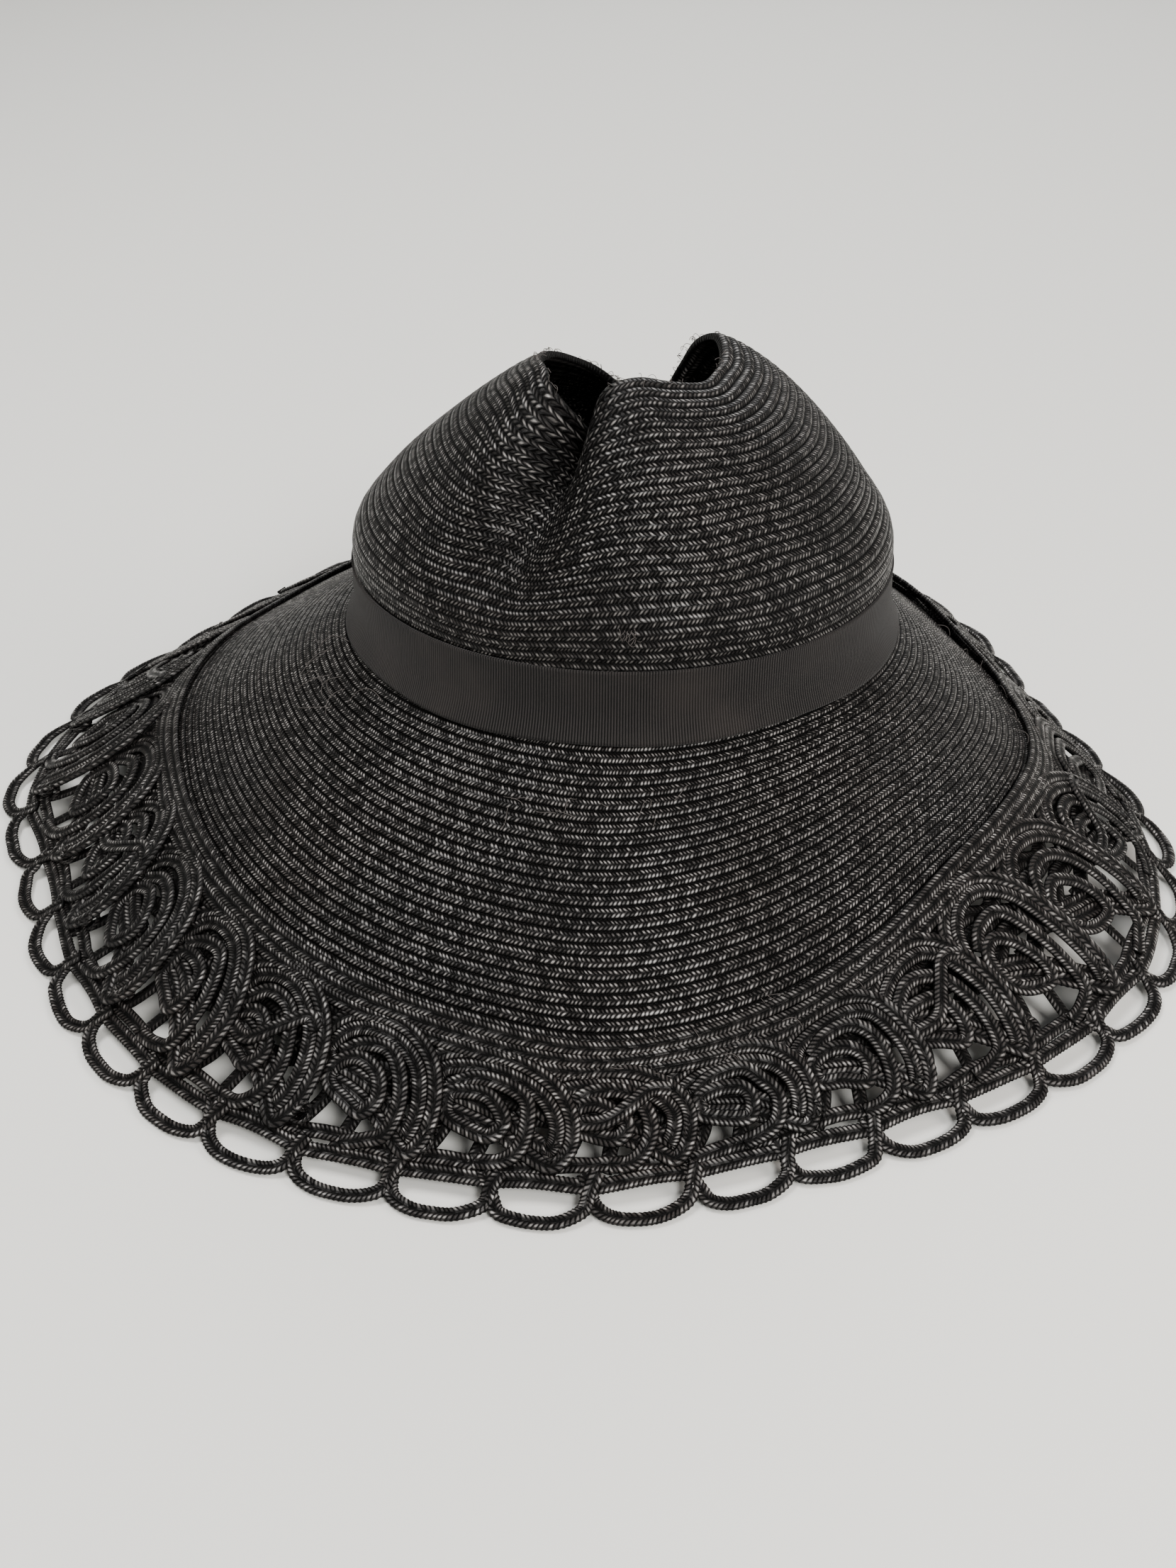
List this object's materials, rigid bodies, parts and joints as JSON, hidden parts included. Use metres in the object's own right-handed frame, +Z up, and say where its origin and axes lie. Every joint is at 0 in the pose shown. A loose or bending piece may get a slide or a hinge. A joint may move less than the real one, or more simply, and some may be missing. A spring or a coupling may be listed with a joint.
{
  "type": "straw hat",
  "caption": "Wide-brimmed straw hat with a folded open crown, a plain ribbon and a pierced looped-braid border with scallops.",
  "frame": {"origin": "centre of the overall outline, on the plane that the border's scallops rest on", "axes": "+Z up through the open crown, -Y toward the creased front, +X toward the right in the front view"},
  "size_m": [0.4182, 0.4066, 0.1715],
  "materials": {
    "crown_straw": "black sewn straw braid, slightly glossy",
    "brim_straw": "black sewn straw braid, slightly glossy",
    "ribbon_cloth": "matte black ribbed ribbon",
    "band_braid": "black flat straw braid",
    "lace_braid": "black flat straw braid, looped and sewn"
  },
  "bodies": {
    "root": {"crown": "crown_straw", "brim": "brim_straw", "ribbon": "ribbon_cloth", "border_band": "band_braid", "lace_border": "lace_braid"}
  },
  "joints": []
}
